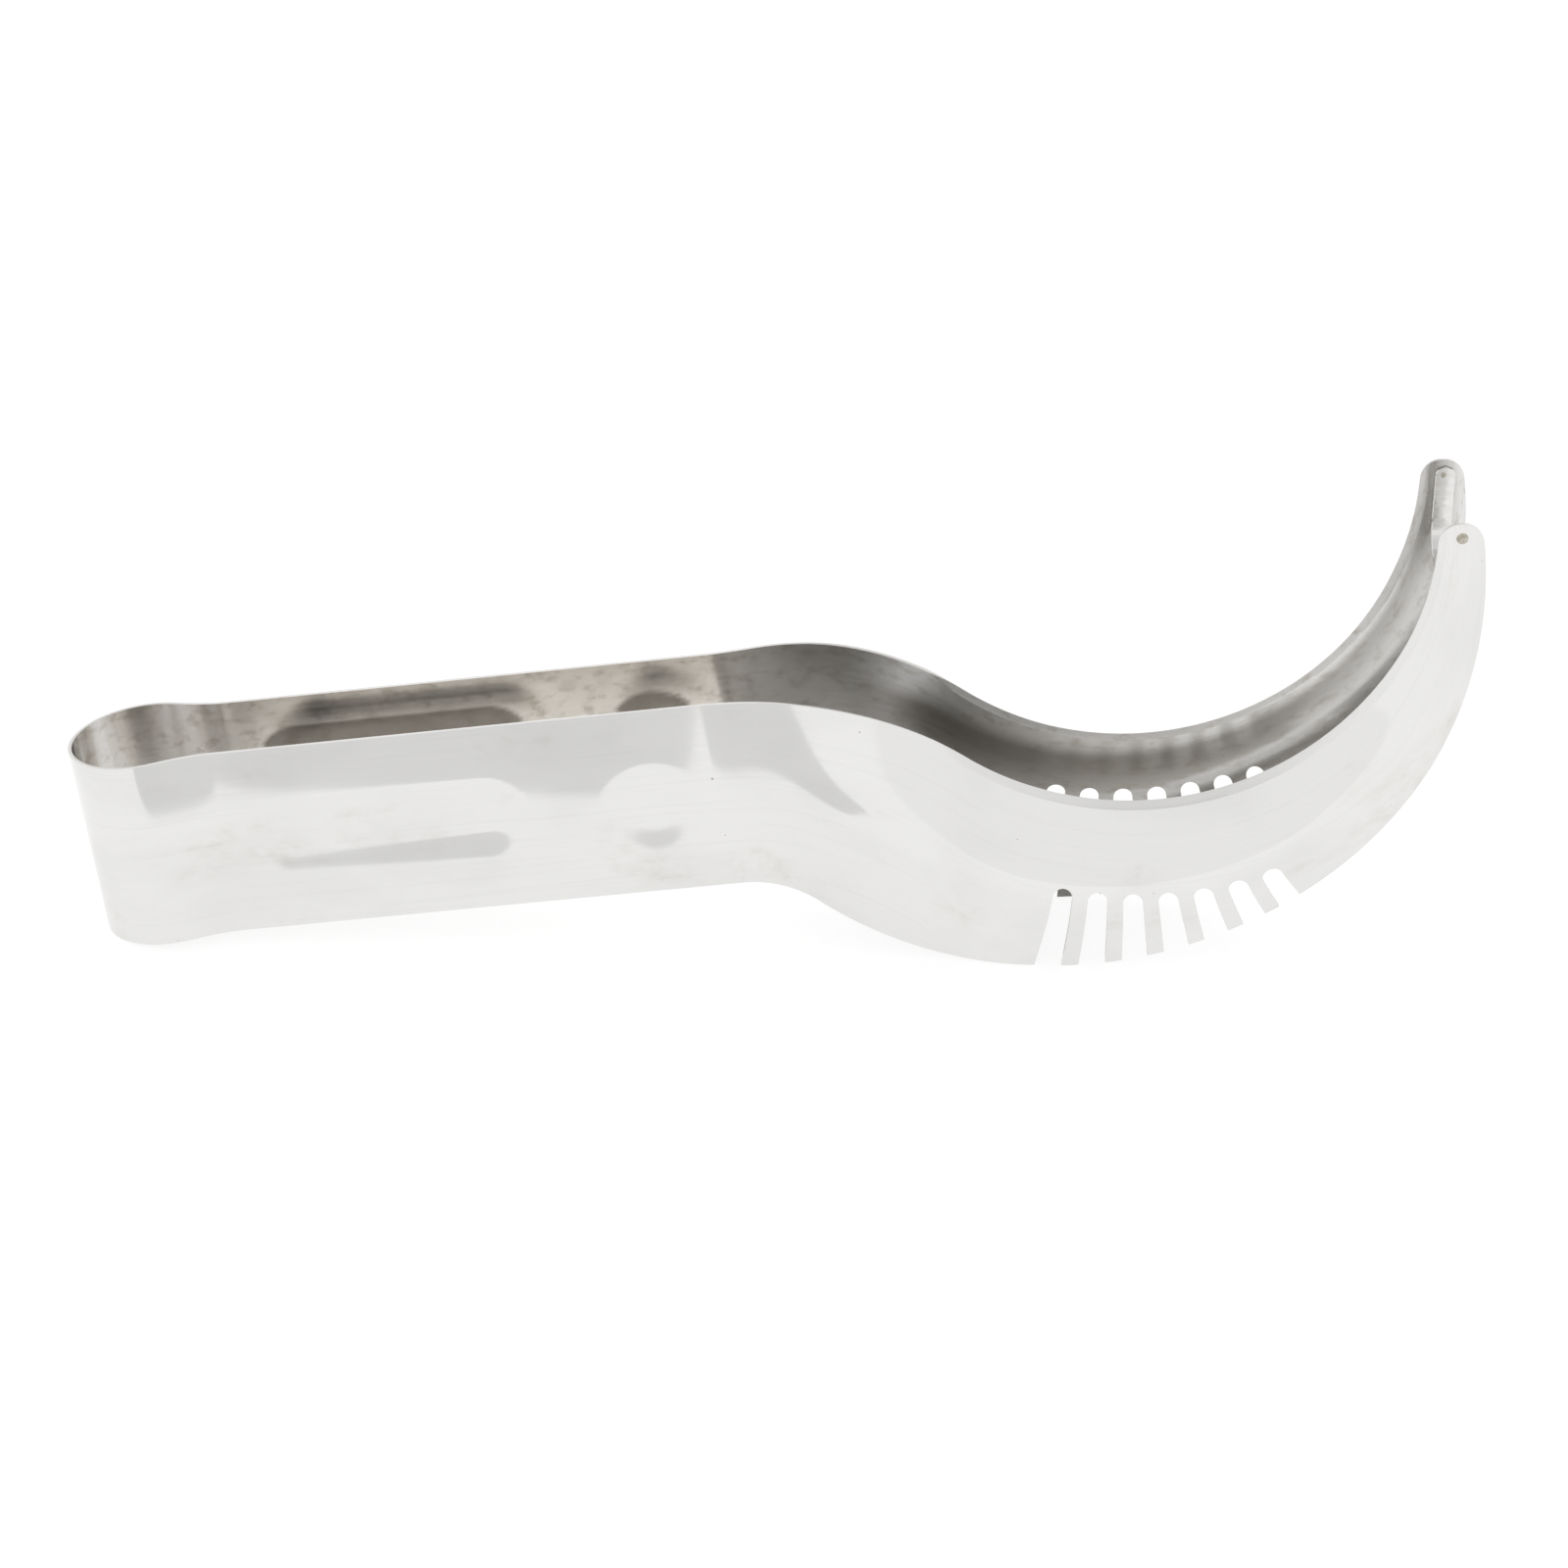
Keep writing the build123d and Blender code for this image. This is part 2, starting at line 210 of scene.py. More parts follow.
def neck_arc(line_height, radius, centre, circle_radius):
    """Arc from a long edge of the handle to a blade edge: its centre and both tangent points."""
    arc_up = ORIGIN @ UP + line_height - radius
    reach = radius + circle_radius
    arc_along = centre @ ALONG - math.sqrt(reach**2 - (arc_up - centre @ UP) ** 2)
    arc_centre = arc_along * ALONG + arc_up * UP
    return arc_centre, arc_centre + radius * UP, arc_centre + (centre - arc_centre) * radius / reach


def angle_of(point, centre):
    """Angle of a point about a centre, from straight down, growing towards the blade tip."""
    return math.atan2(point[0] - centre[0], centre[1] - point[1])


def edge_path(line_height, radius, centre, circle_radius, last_angle):
    """One long edge from the end of the handle to the tip: the function giving its points by
    length, its whole length, the length where the blade starts and the blade's first angle."""
    start = ORIGIN + HANDLE_END * ALONG + line_height * UP
    arc_centre, on_line, on_circle = neck_arc(line_height, radius, centre, circle_radius)
    straight = np.linalg.norm(on_line - start)
    turn_from = angle_of(on_line, arc_centre)
    turn_to = angle_of(on_circle, arc_centre)
    turn = (turn_from - turn_to) % (2 * math.pi)
    bend = turn * radius
    first = angle_of(on_circle, centre)
    total = straight + bend + (last_angle - first) * circle_radius

    def place(length):
        length = np.asarray(length, float)[..., None]
        angle = turn_from - (length - straight) / radius
        shoulder = arc_centre + radius * np.concatenate([np.sin(angle), -np.cos(angle)], -1)
        swing = first + (length - straight - bend) / circle_radius
        blade = centre + circle_radius * np.concatenate([np.sin(swing), -np.cos(swing)], -1)
        line = start + length * ALONG
        past_line = np.where(length < straight + bend, shoulder, blade)
        return np.where(length < straight, line, past_line)

    return place, total, straight + bend, first


top_path, top_total, top_blade, top_first = edge_path(
    STRIP_WIDTH, SHOULDER_RADIUS, CONCAVE_CENTRE, CONCAVE_RADIUS, LAST_ANGLE
)
low_path, low_total, *_ = edge_path(
    0.0, ARMPIT_RADIUS, CONVEX_CENTRE, CONVEX_RADIUS, LOW_LAST_ANGLE
)


def station_table():
    """Each station's length along the top edge, its length along the lower edge, and its form."""
    sample = np.linspace(0, low_total, 6000)
    low_points = low_path(sample)
    top_sample = np.linspace(0, top_total, 6000)
    top_x = top_path(top_sample)[:, 0]
    rows = [(0.0, 0.0, HANDLE_HALF_GAP, HANDLE_HALF_GAP, 0.0)]
    stations = []
    for x, angle, *form in NECK_STATIONS:
        stations.append((np.interp(x, top_x, top_sample), angle, *form))
    for angle, *form in BLADE_STATIONS:
        along = top_blade + (math.radians(angle) - top_first) * CONCAVE_RADIUS
        stations.append((along, angle, *form))
    for along, angle, *form in stations:
        top = top_path(along)
        off = low_points - top
        swing = math.radians(angle)
        aside = off[:, 0] * math.cos(swing) + off[:, 1] * math.sin(swing)
        ahead = off[:, 0] * math.sin(swing) - off[:, 1] * math.cos(swing)
        aside = np.where(ahead > 0, np.abs(aside), np.inf)
        rows.append((along, sample[np.argmin(aside)], *form))
    return np.array(rows)


STATIONS = station_table()
# Two more stations before the first make the neck leave the flat handle straight.
EASE_STATIONS = np.vstack([STATIONS[0] - (6, 6, 0, 0, 0), STATIONS[0] - (3, 3, 0, 0, 0), STATIONS])


def bow_plan():
    """Half of the spring bend and the handle seen down the bend axis, as points by length."""
    centre = SHEET / 2 + BOW_RADIUS
    turn = np.linspace(0, BOW_WRAP, 200)
    arc = np.stack([centre - BOW_RADIUS * np.cos(turn), BOW_RADIUS * np.sin(turn)], -1)
    leave = np.array((math.sin(BOW_WRAP), math.cos(BOW_WRAP)))
    controls = [
        arc[-1],
        arc[-1] + BOW_EASE * leave,
        np.array((HANDLE_START - BOW_EASE, HANDLE_HALF_GAP)),
        np.array((HANDLE_START, HANDLE_HALF_GAP)),
    ]
    t = np.linspace(0, 1, 100)[1:, None]
    weights = [(1 - t) ** 3, 3 * (1 - t) ** 2 * t, 3 * (1 - t) * t**2, t**3]
    ease = sum(w * c for w, c in zip(weights, controls))
    straight = np.array([(HANDLE_END, HANDLE_HALF_GAP)])
    points = np.vstack([arc, ease, straight])
    lengths = np.concatenate([[0], np.cumsum(np.linalg.norm(np.diff(points, axis=0), axis=1))])
    return lengths, points


PLAN_LENGTHS, PLAN_POINTS = bow_plan()
HANDLE_LENGTH = PLAN_LENGTHS[-1]
TOTAL_LENGTH = HANDLE_LENGTH + top_total


def pressing(along, up):
    """How far the handle sheet is pressed inwards."""
    reach = (OVAL_LENGTH - OVAL_HEIGHT) / 2
    off = np.maximum(np.abs(along - OVAL_CENTRE[0]) - reach, 0)
    oval = OVAL_HEIGHT / 2 - np.hypot(off, up - OVAL_CENTRE[1])
    round_one = DIMPLE_RADIUS - np.hypot(along - DIMPLE_CENTRE[0], up - DIMPLE_CENTRE[1])
    return OVAL_DEPTH * smooth(oval / PRESS_SLOPE) + DIMPLE_DEPTH * smooth(round_one / PRESS_SLOPE)


def middle_surface(pattern):
    """Middle of the +Y half's sheet for points (length from the bend, depth below the top edge
    as a share of the width) of the flat pattern."""
    length, share = pattern[:, 0], pattern[:, 1]
    plan = np.stack([np.interp(length, PLAN_LENGTHS, PLAN_POINTS[:, i]) for i in (0, 1)], -1)
    up = STRIP_WIDTH * (1 - share)
    across = plan[:, 1] - pressing(plan[:, 0], up)
    side = ORIGIN + plan[:, :1] * ALONG + up[:, None] * UP
    handle = np.stack([side[:, 0], across, side[:, 1]], -1)
    along = length - HANDLE_LENGTH
    knots = EASE_STATIONS[:, 0]
    columns = EASE_STATIONS[:, 1:].T
    low_at, top_gap, low_gap, fold = [spline(knots, values, along) for values in columns]
    top, low = top_path(along), low_path(low_at)
    side = top + (low - top) * share[:, None]
    ridge = math.hypot(1, FOLD_SOFTNESS) - np.hypot(2 * share - 1, FOLD_SOFTNESS)
    across = top_gap + (low_gap - top_gap) * share + fold * FOLD_HEIGHT * ridge
    blade = np.stack([side[:, 0], across, side[:, 1]], -1)
    return np.where((along > 0)[:, None], blade, handle)


def sheet_normal(pattern):
    """Outward unit normal of the sheet at points of the flat pattern."""
    step = 0.02
    by_length = middle_surface(pattern + (step, 0)) - middle_surface(pattern - (step, 0))
    small = step / STRIP_WIDTH
    by_share = middle_surface(pattern + (0, small)) - middle_surface(pattern - (0, small))
    normal = np.cross(by_length, by_share)
    return normal / np.linalg.norm(normal, axis=1)[:, None]


def pattern_of(points):
    """Flat pattern places of side view points on the neck or blade, by Newton's method."""
    share = np.full(len(points), 0.5)
    swing = np.arctan2(points[:, 0] - CONCAVE_CENTRE[0], CONCAVE_CENTRE[1] - points[:, 1])
    length = HANDLE_LENGTH + top_blade + (swing - top_first) * CONCAVE_RADIUS
    pattern = np.stack([length, share], -1)
    for _ in range(12):
        here = middle_surface(pattern)[:, ::2]
        by_length = (middle_surface(pattern + (0.01, 0))[:, ::2] - here) / 0.01
        by_share = (middle_surface(pattern + (0, 0.001))[:, ::2] - here) / 0.001
        step = np.linalg.solve(np.stack([by_length, by_share], -1), (points - here)[..., None])
        pattern = pattern + step[..., 0]
    return pattern


# ---- flat pattern ---------------------------------------------------------------------------


def blade_width(along):
    """Width of the sheet from edge to edge, along the neck and blade."""
    at = np.clip(along, 0, None)
    low_at = spline(EASE_STATIONS[:, 0], EASE_STATIONS[:, 1], at)
    return np.linalg.norm(low_path(low_at) - top_path(at), axis=-1)


def bevel_share(length):
    """Where the ground edge ends, as a share of the width below the concave edge."""
    along = length - HANDLE_LENGTH
    return BEVEL_WIDTH * onset(along, BEVEL_START, BEVEL_FADE) / blade_width(along)


def thickness(pattern):
    """Sheet thickness, ground down towards the concave edge of the blade."""
    ground = bevel_share(pattern[:, 0]) - pattern[:, 1]
    drop = np.maximum(ground, 0) * blade_width(pattern[:, 0] - HANDLE_LENGTH)
    return SHEET - 2 * BEVEL_SLOPE * drop


def slot_points(index):
    """One comb slot from its mouth past the convex edge, round its crown and out again."""
    swing = SLOT_FIRST + index * SLOT_PITCH
    out = np.array((math.sin(swing), -math.cos(swing)))
    crown = CONCAVE_CENTRE + (SLOT_TOP_RADIUS + SLOT_WIDTH / 2) * out
    out = np.array((math.sin(swing + SLOT_LEAN), -math.cos(swing + SLOT_LEAN)))
    aside = np.array((-out[1], out[0]))
    half = SLOT_WIDTH / 2
    mouth = np.linspace(SLOT_REACH, GRID, 26)
    turn = np.linspace(0, math.pi, 17)
    ahead = [crown + aside * (half + d * SLOT_FLARE) + out * d for d in mouth]
    cap = [crown + aside * half * math.cos(a) - out * half * math.sin(a) for a in turn]
    behind = [crown - aside * (half + d * SLOT_FLARE) + out * d for d in mouth[::-1]]
    return np.array(ahead + cap + behind)


def tip_points():
    """The rounded end of the blade from its convex to its concave edge, in the side view."""
    height = TIP_HEIGHT - TIP_CORNER
    reach = np.array((CONVEX_RADIUS - TIP_CORNER, CONCAVE_RADIUS + TIP_CORNER))
    middle = np.array((CONVEX_CENTRE, CONCAVE_CENTRE))
    x = middle[:, 0] + np.sqrt(reach**2 - (height - middle[:, 1]) ** 2)
    rise = np.arctan2(height - middle[:, 1], x - middle[:, 0])
    front = np.linspace(rise[0], math.pi / 2, 14)
    back = np.linspace(math.pi / 2, math.pi + rise[1], 14)
    points = [(x[0] + TIP_CORNER * math.cos(a), height + TIP_CORNER * math.sin(a)) for a in front]
    points += [(x[1] + TIP_CORNER * math.cos(a), height + TIP_CORNER * math.sin(a)) for a in back]
    return np.array(points)


def row(lengths, share):
    """Points of the flat pattern at one share of the width."""
    return np.stack([lengths, np.full(len(lengths), share)], -1)


def blade_loop():
    """Outline of the neck and blade in the flat pattern, once round from the top of the neck."""
    tip = pattern_of(tip_points())
    parts = [row(np.arange(HANDLE_LENGTH, tip[-1, 0], GRID), 0.0), tip[::-1]]
    cursor = tip[0, 0]
    for index in reversed(range(SLOT_COUNT)):
        slot = pattern_of(slot_points(index))
        inside = slot[slot[:, 1] < 1.0]
        parts.append(row(np.arange(cursor, inside[0, 0], -GRID), 1.0))
        parts.append(row(inside[:1, 0], 1.0))
        parts.append(inside)
        parts.append(row(inside[-1:, 0], 1.0))
        cursor = inside[-1, 0] - GRID
    parts.append(row(np.arange(cursor, HANDLE_LENGTH, -GRID), 1.0))
    rise = np.arange(STRIP_WIDTH, 0, -GRID) / STRIP_WIDTH
    parts.append(np.stack([np.full(len(rise), HANDLE_LENGTH), rise], -1))
    loop = np.vstack(parts)
    step = np.linalg.norm((loop - np.roll(loop, 1, axis=0)) * (1, STRIP_WIDTH), axis=1)
    return loop[step > 0.02]


def cleared(points, others, gap):
    """The points that lie further than gap from every one of the others."""
    keep = np.ones(len(points), bool)
    scale = np.array((1, STRIP_WIDTH))
    for other in others:
        near = np.flatnonzero(np.abs(points[:, 0] - other[0]) < gap)
        off = np.linalg.norm((points[near] - other) * scale, axis=1)
        keep[near[off < gap]] = False
    return points[keep]


def blade_pattern():
    """Triangles of the neck and blade: points of the flat pattern and corner numbers."""
    loop = blade_loop()
    lengths = np.arange(HANDLE_LENGTH + BEVEL_START, TOTAL_LENGTH, GRID / 2)
    crease = np.stack([lengths, bevel_share(lengths)], -1)
    crease = cleared(crease[crease[:, 1] > 0.004], loop, GRID / 4)
    lengths = np.arange(HANDLE_LENGTH + GRID / 2, TOTAL_LENGTH, GRID)
    shares = np.arange(GRID / 2, STRIP_WIDTH, GRID) / STRIP_WIDTH
    grid = np.stack(np.meshgrid(lengths, shares, indexing="ij"), -1).reshape(-1, 2)
    grid = cleared(cleared(grid, loop, GRID * 0.45), crease, GRID * 0.45)
    flat = np.vstack([loop, crease, grid]) * (1, STRIP_WIDTH)
    made = delaunay_2d_cdt([Vector(point) for point in flat], [], [list(range(len(loop)))], 1, 1e-6)
    points = np.array(made[0], float) / (1, STRIP_WIDTH)
    faces = np.array([face for face in made[2] if len(face) == 3])
    used, faces = np.unique(faces, return_inverse=True)
    return points[used], faces.reshape(-1, 3)


def handle_pattern():
    """Squares of half the bend and the handle: points of the flat pattern and corner numbers."""
    lengths = np.linspace(0, HANDLE_LENGTH, round(HANDLE_LENGTH / GRID) + 1)
    shares = np.linspace(0, 1, round(STRIP_WIDTH / GRID) + 1)
    points = np.stack(np.meshgrid(lengths, shares, indexing="ij"), -1).reshape(-1, 2)
    across = len(shares)
    first = (np.arange(len(lengths) - 1)[:, None] * across + np.arange(across - 1)).ravel()
    return points, np.stack([first, first + across, first + across + 1, first + 1], -1)


# ---- meshes ---------------------------------------------------------------------------------


def mesh_object(name, points, faces, normals):
    """Mesh in metres with the given normal at each face corner."""
    mesh = bpy.data.meshes.new(name)
    points = (points - (HALF_LENGTH, 0, 0)) * MM
    mesh.from_pydata(points.tolist(), [], [list(map(int, face)) for face in faces])
    mesh.polygons.foreach_set("use_smooth", [True] * len(faces))
    mesh.update()
    mesh.normals_split_custom_set(normals.tolist())
    piece = bpy.data.objects.new(name, mesh)
    bpy.context.scene.collection.objects.link(piece)
    return piece


def sheet_finish_and_shade(pattern, side):
    """Finish and painted shade of the outer and of the inner face at points of the flat pattern:
    1 on the ground edge, the share of painted shade (in the left handle's pressed features and
    between the arms), and how much the face is brushed like the blade's inside."""
    cut = (pattern[:, 1] < bevel_share(pattern[:, 0]) - 0.001).astype(float)
    along = pattern[:, 0] - HANDLE_LENGTH
    # Painted shade on the inside between the arms: darkest along a line below the top edge, paler
    # towards the tip and the lower edge, and also in the spring bend
    below = pattern[:, 1] - INNER_SHADE_CREST
    crest = np.exp(-((below / np.where(below < 0, INNER_SHADE_ABOVE, INNER_SHADE_BELOW)) ** 2))
    shade = INNER_SHADE_NECK + (crest - INNER_SHADE_NECK) * onset(along, *CREST_FORMS)
    most = INNER_SHADE_RANGE - INNER_SHADE_LOST * onset(along, *TIP_PALES)
    inner_shade = onset(along, *INNER_SHADE_GROWS) * (INNER_SHADE_LEAST + shade * most)
    inner_shade *= 1 - onset(pattern[:, 1], *LOWER_PALES)
    inner_shade = np.maximum(inner_shade, BOW_SHADE * smooth((BOW_SHADE_END - pattern[:, 0]) / BOW_SHADE_FADE))
    plan = np.interp(pattern[:, 0], PLAN_LENGTHS, PLAN_POINTS[:, 0])
    # Painted shade in and above the pressed features of the left handle's inside
    up = STRIP_WIDTH * (1 - pattern[:, 1]) - PRESSED_SHADE_RISE
    deep = pressing(plan, up) / OVAL_DEPTH * onset(up, OVAL_CENTRE[1] + 3, 1) * (side > 0)
    painted_shade = PRESSED_SHADE_DARK * onset(deep, *PRESSED_SHADE_ONSET)
    dark = np.where(along < 0, np.maximum(painted_shade, inner_shade), inner_shade)
    brushed = HANDLE_BRUSHED + (1 - HANDLE_BRUSHED) * onset(along, *BRUSHED_GROWS)
    nothing = np.zeros(len(pattern))
    return [np.stack([cut, nothing, nothing], -1), np.stack([cut, dark, brushed], -1)]


def write_vectors(piece, name, layers):
    """Vector attribute of a sheet piece's points, given for its outer and its inner face."""
    attribute = piece.data.attributes.new(name, "FLOAT_VECTOR", "POINT")
    attribute.data.foreach_set("vector", np.vstack(layers).astype(np.float32).ravel())


def sheet_piece(name, side, pattern, faces):
    """Closed sheet metal piece over one part of the flat pattern, on the side's arm."""
    middle = middle_surface(pattern)
    normal = sheet_normal(pattern)
    half = thickness(pattern)[:, None] / 2
    mirror = np.array((1, side, 1))
    points = np.vstack([middle + normal * half, middle - normal * half]) * mirror
    count = len(pattern)
    centre = pattern[faces].mean(1)
    ground = centre[:, 1] < bevel_share(centre[:, 0])
    down = middle_surface(pattern + (0, 0.002)) - middle
    up_sheet = -down / np.linalg.norm(down, axis=1)[:, None]
    edges = np.stack([faces, np.roll(faces, -1, axis=1)], -1).reshape(-1, 2)
    pairs = {tuple(edge) for edge in edges.tolist()}
    rim = np.array([edge for edge in edges.tolist() if (edge[1], edge[0]) not in pairs])
    outer_normals = normal[faces]
    outer_normals[ground] += BEVEL_SLOPE * up_sheet[faces[ground]]
    inner_normals = -normal[faces]
    inner_normals[ground] += BEVEL_SLOPE * up_sheet[faces[ground]]
    run = middle[rim[:, 1]] - middle[rim[:, 0]]
    out = np.cross(run, normal[rim[:, 0]])
    made = [*faces.tolist(), *(faces[:, ::-1] + count).tolist()]
    made += np.stack([rim[:, 0], rim[:, 0] + count, rim[:, 1] + count, rim[:, 1]], -1).tolist()
    width = faces.shape[1]
    corner_normals = np.vstack([
        outer_normals.reshape(-1, 3),
        inner_normals[:, ::-1].reshape(-1, 3),
        np.repeat(out, 4, axis=0),
    ])
    corner_normals *= mirror
    if side < 0:
        made = [face[::-1] for face in made]
        sizes = [width] * (2 * len(faces)) + [4] * len(rim)
        order = []
        start = 0
        for size in sizes:
            order += range(start + size - 1, start - 1, -1)
            start += size
        corner_normals = corner_normals[order]
    corner_normals /= np.linalg.norm(corner_normals, axis=1)[:, None]
    piece = mesh_object(name, points, made, corner_normals)
    depth = pattern[:, 1] * np.maximum(blade_width(pattern[:, 0] - HANDLE_LENGTH), STRIP_WIDTH / 2)
    place = np.stack([pattern[:, 0], depth, np.full(count, SIDE_SHIFT * side)], -1)
    write_vectors(piece, "sheet_place", [place + (0, 0, OUTER_SHIFT), place])
    write_vectors(piece, "sheet_finish_and_shade", sheet_finish_and_shade(pattern, side))
    return piece


def swept_strip(name, path, outward, x_range, sheet, round_off):
    """Strip with eased edges along a path in the Y-Z plane, its ends rounded."""
    middle_x = sum(x_range) / 2
    half = (x_range[1] - x_range[0]) / 2
    ease = sheet / 4
    lengths = np.concatenate([[0], np.cumsum(np.linalg.norm(np.diff(path, axis=0), axis=1))])
    to_end = np.minimum(lengths, lengths[-1] - lengths)
    narrow = np.sqrt(np.clip(1 - (1 - to_end / round_off) ** 2, 0.02, 1))
    half_widths = half * np.where(to_end < round_off, narrow, 1)
    rings = []
    for (y, z), (out_y, out_z), width in zip(path, outward, half_widths):
        for across, through in (
            (-width, -sheet / 2 + ease), (-width, sheet / 2 - ease), (-width + ease, sheet / 2),
            (width - ease, sheet / 2), (width, sheet / 2 - ease), (width, -sheet / 2 + ease),
            (width - ease, -sheet / 2), (-width + ease, -sheet / 2),
        ):
            rings.append((middle_x + across, y + out_y * through, z + out_z * through))
    faces = [tuple(range(7, -1, -1))]
    for ring in range(len(path) - 1):
        for i in range(8):
            j = (i + 1) % 8
            faces.append((ring * 8 + i, ring * 8 + j, ring * 8 + 8 + j, ring * 8 + 8 + i))
    last = (len(path) - 1) * 8
    faces.append(tuple(range(last, last + 8)))
    return crisp_object(name, np.array(rings), faces)


def crisp_object(name, points, faces):
    """Mesh in metres, smooth except where its faces meet at more than the crisp angle."""
    mesh = bpy.data.meshes.new(name)
    points = (np.asarray(points, float) - (HALF_LENGTH, 0, 0)) * MM
    mesh.from_pydata(points.tolist(), [], faces)
    mesh.polygons.foreach_set("use_smooth", [True] * len(faces))
    mesh.set_sharp_from_angle(angle=CRISP_ANGLE)
    mesh.update()
    piece = bpy.data.objects.new(name, mesh)
    bpy.context.scene.collection.objects.link(piece)
    return piece


def cross_blade():
    """The narrow U-shaped strip welded between the tips."""
    gap = TIP_HALF_GAP - SHEET / 2 - CROSS_SEAT - CROSS_SHEET / 2
    turn = np.linspace(0, math.pi / 2, 13)[1:-1]
    corner = CROSS_BOTTOM + CROSS_BEND_RADIUS
    path, outward = [], []
    for z in np.linspace(CROSS_TOP, corner, 21):
        path.append((-gap, z))
        outward.append((-1, 0))
    for a in turn:
        out_y, out_z = -math.cos(a), -math.sin(a)
        outward.append((out_y, out_z))
        path.append((CROSS_BEND_RADIUS * (1 + out_y) - gap, CROSS_BEND_RADIUS * out_z + corner))
    for y in np.linspace(-gap + CROSS_BEND_RADIUS, 0, 9):
        path.append((y, CROSS_BOTTOM))
        outward.append((0, -1))
    path += [(-y, z) for y, z in path[-2::-1]]
    outward += [(-out_y, out_z) for out_y, out_z in outward[-2::-1]]
    return swept_strip(
        "tip_cross_blade", np.array(path), outward, CROSS_X, CROSS_SHEET, CROSS_END_RADIUS
    )


def spot_weld(name, side):
    """The mark of one weld: a shallow pit with a raised lip outside, and a small bump inside."""
    outer = TIP_HALF_GAP + SHEET / 2
    inner = TIP_HALF_GAP - SHEET / 2 - CROSS_SEAT - CROSS_SHEET
    profile = [
        (0.0, outer + 0.012), (0.3, outer + 0.014), (0.5, outer + 0.03), (0.66, outer + 0.055),
        (0.78, outer + 0.05), (0.88, outer + 0.01), (0.9, outer - 0.1), (0.5, inner + 0.1),
        (0.45, inner - 0.01), (0.36, inner - 0.05), (0.2, inner - 0.03), (0.0, inner - 0.02),
    ]
    turns = 28
    points = []
    for reach, across in profile[1:-1]:
        for k in range(turns):
            a = 2 * math.pi * k / turns
            x, z = WELD_AT + (reach * math.cos(a), reach * math.sin(a))
            points.append((x, across * side, z))
    points.append((WELD_AT[0], profile[0][1] * side, WELD_AT[1]))
    points.append((WELD_AT[0], profile[-1][1] * side, WELD_AT[1]))
    faces = []
    rows = len(profile) - 2
    for k in range(turns):
        n = (k + 1) % turns
        faces.append((rows * turns, n, k))
        faces.append((rows * turns + 1, (rows - 1) * turns + k, (rows - 1) * turns + n))
        for r in range(rows - 1):
            faces.append((r * turns + k, r * turns + n, (r + 1) * turns + n, (r + 1) * turns + k))
    if side < 0:
        faces = [face[::-1] for face in faces]
    return crisp_object(name, points, faces)


# ---- materials ------------------------------------------------------------------------------

SHEET_TONE = (0.79, 0.785, 0.772, 1)
BLADE_TONE = (0.78, 0.775, 0.76, 1)
INSIDE_TONE = (0.89, 0.875, 0.85, 1)
STREAK_TONE = (0.6, 0.59, 0.57, 1)
STAIN_TONE = (0.46, 0.41, 0.35, 1)
PIT_TONE = (0.2, 0.17, 0.14, 1)
# Tone of the painted shade on the inside of the sheet
PAINTED_SHADE_TONE = (0.16, 0.145, 0.125, 1)
WELD_TONES = ((0.36, 0.33, 0.28, 1), (0.6, 0.57, 0.5, 1))


def darker(tone, share):
    """A colour brought down to a share of its brightness."""
    return tuple(share * c for c in tone[:3]) + (1,)


class Graph:
    """Small helper that adds and links shader nodes of one material."""

    def __init__(self, name):
        self.material = bpy.data.materials.new(name)
        self.material.use_nodes = True
        self.tree = self.material.node_tree
        self.shader = self.tree.nodes["Principled BSDF"]

    def add(self, kind, inputs=None, **settings):
        """One node with its settings, and each input either linked or given a value."""
        node = self.tree.nodes.new(kind)
        for key, value in settings.items():
            setattr(node, key, value)
        for key, value in (inputs or {}).items():
            self.put(node.inputs[key], value)
        return node

    def put(self, socket, value):
        """Links an output to a socket, or sets the socket's value."""
        if isinstance(value, bpy.types.NodeSocket):
            self.tree.links.new(value, socket)
        else:
            socket.default_value = value

    def math(self, operation, a, b=0.0, c=0.0):
        """Result of one arithmetic node."""
        return self.add("ShaderNodeMath", {0: a, 1: b, 2: c}, operation=operation).outputs[0]

    def noise(self, place, stretch, detail=3.0, rough=0.5):
        """Noise read at a place whose three directions are stretched."""
        mapped = self.add("ShaderNodeMapping", {"Vector": place, "Scale": stretch}).outputs[0]
        inputs = {"Vector": mapped, "Scale": 1.0, "Detail": detail, "Roughness": rough}
        return self.add("ShaderNodeTexNoise", inputs).outputs[0]

    def ramp(self, value, low, high, to_low=0.0, to_high=1.0):
        """Value remapped smoothly from low..high to to_low..to_high."""
        inputs = {"Value": value, "From Min": low, "From Max": high}
        inputs.update({"To Min": to_low, "To Max": to_high})
        return self.add("ShaderNodeMapRange", inputs, interpolation_type="SMOOTHSTEP").outputs[0]

    def blend(self, share, under, over):
        """Colour over laid on colour under by a share."""
        node = self.add("ShaderNodeMix", {0: share, 6: under, 7: over}, data_type="RGBA")
        return node.outputs[2]


